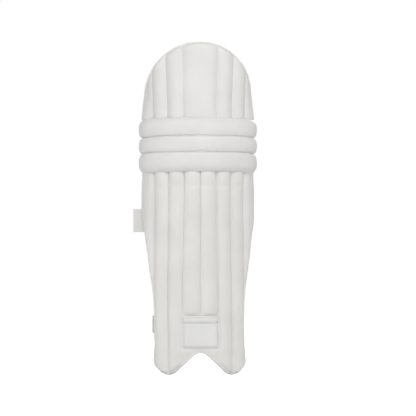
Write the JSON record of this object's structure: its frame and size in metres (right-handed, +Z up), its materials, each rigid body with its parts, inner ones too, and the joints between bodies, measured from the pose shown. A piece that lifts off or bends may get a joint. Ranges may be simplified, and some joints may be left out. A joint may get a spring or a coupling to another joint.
{
  "type": "cricket leg pad",
  "caption": "Padded leg guard with a channelled shin, domed top hat, knee rolls across the knee, an arched instep, leg-side wings and hook-and-loop straps.",
  "frame": {"origin": "on the axis of the leg, level with the middle of the knee rolls", "axes": "+Z up the leg, -Y to the front face, +X to the right as seen from the front"},
  "size_m": [0.2725, 0.1996, 0.7334],
  "materials": {
    "facing": "smooth matt white polyurethane facing",
    "knee_facing": "smooth matt white polyurethane over foam rolls",
    "foam": "closed-cell foam",
    "cane": "split cane",
    "lining": "quilted cotton lining",
    "bolster": "quilted padded fabric",
    "binding": "folded polyurethane binding",
    "wing": "padded fabric",
    "patch": "smooth polyurethane patch, bare",
    "label": "woven tape, bare",
    "webbing": "woven strap",
    "hook": "hook tape",
    "loop": "loop pile tape"
  },
  "bodies": {
    "shin": {"ankle_loop_patch": "loop", "ankle_strap_anchor": "webbing", "calf_bolster_left": "bolster", "calf_bolster_right": "bolster", "calf_loop_patch": "loop", "calf_strap_anchor": "webbing", "instep_panel": "facing", "instep_patch": "patch", "instep_roll": "facing", "knee_loop_patch": "loop", "knee_roll_lower": "knee_facing", "knee_strap_anchor": "webbing", "shin_backing": "foam", "shin_binding": "binding", "shin_bolster": "bolster", "shin_canes": "cane", "shin_facing": "facing", "shin_lining": "lining", "shin_roll_1": "foam", "shin_roll_2": "foam", "shin_roll_3": "foam", "shin_roll_4": "foam", "shin_roll_5": "foam", "shin_roll_6": "foam", "shin_roll_7": "foam", "shin_roll_8": "foam", "side_label_tab": "label", "wing_left": "wing", "wing_right": "wing"},
    "knee": {"knee_roll_middle": "knee_facing", "knee_backing": "foam", "knee_lining": "lining"},
    "top_hat": {"knee_bolster_left": "bolster", "knee_bolster_right": "bolster", "knee_roll_upper": "knee_facing", "top_hat_backing": "foam", "top_hat_binding": "binding", "top_hat_canes": "cane", "top_hat_facing": "facing", "top_hat_lining": "lining", "top_hat_roll_1": "foam", "top_hat_roll_2": "foam", "top_hat_roll_3": "foam", "top_hat_roll_4": "foam", "top_hat_roll_5": "foam", "top_hat_roll_6": "foam", "top_hat_roll_7": "foam"},
    "knee_strap": {"knee_strap_band": "webbing"},
    "knee_strap_end": {"knee_strap_tip": "webbing", "knee_hook_patch": "hook"},
    "calf_strap": {"calf_strap_band": "webbing"},
    "calf_strap_end": {"calf_strap_tip": "webbing", "calf_hook_patch": "hook"},
    "ankle_strap": {"ankle_strap_band": "webbing"},
    "ankle_strap_end": {"ankle_strap_tip": "webbing", "ankle_hook_patch": "hook"}
  },
  "joints": [
    {"name": "knee_flex", "type": "hinge", "parent": "shin", "child": "top_hat", "pos_m": [0, -0.008, 0], "axis": [-1, 0, 0], "range_deg": [0, 12]},
    {"name": "knee_open", "type": "hinge", "parent": "shin", "child": "knee", "pos_m": [0, -0.008, 0], "axis": [-1, 0, 0], "range_deg": [0, 6]},
    {"name": "knee_strap_swing", "type": "hinge", "parent": "shin", "child": "knee_strap", "pos_m": [-0.099, 0.0363, -0.086], "axis": [0, 0, 1], "range_deg": [0, 120]},
    {"name": "knee_strap_peel", "type": "hinge", "parent": "knee_strap", "child": "knee_strap_end", "pos_m": [0.1017, 0.0363, -0.086], "axis": [0, 0, 1], "range_deg": [0, 100]},
    {"name": "calf_strap_swing", "type": "hinge", "parent": "shin", "child": "calf_strap", "pos_m": [-0.099, 0.0413, -0.215], "axis": [0, 0, 1], "range_deg": [0, 120]},
    {"name": "calf_strap_peel", "type": "hinge", "parent": "calf_strap", "child": "calf_strap_end", "pos_m": [0.1017, 0.0413, -0.215], "axis": [0, 0, 1], "range_deg": [0, 100]},
    {"name": "ankle_strap_swing", "type": "hinge", "parent": "shin", "child": "ankle_strap", "pos_m": [-0.099, 0.0063, -0.395], "axis": [0, 0, 1], "range_deg": [0, 120]},
    {"name": "ankle_strap_peel", "type": "hinge", "parent": "ankle_strap", "child": "ankle_strap_end", "pos_m": [0.1017, 0.0063, -0.395], "axis": [0, 0, 1], "range_deg": [0, 100]}
  ],
  "couplings": [
    {"joint": "knee_open", "follows": "knee_flex", "ratio": 0.5}
  ]
}
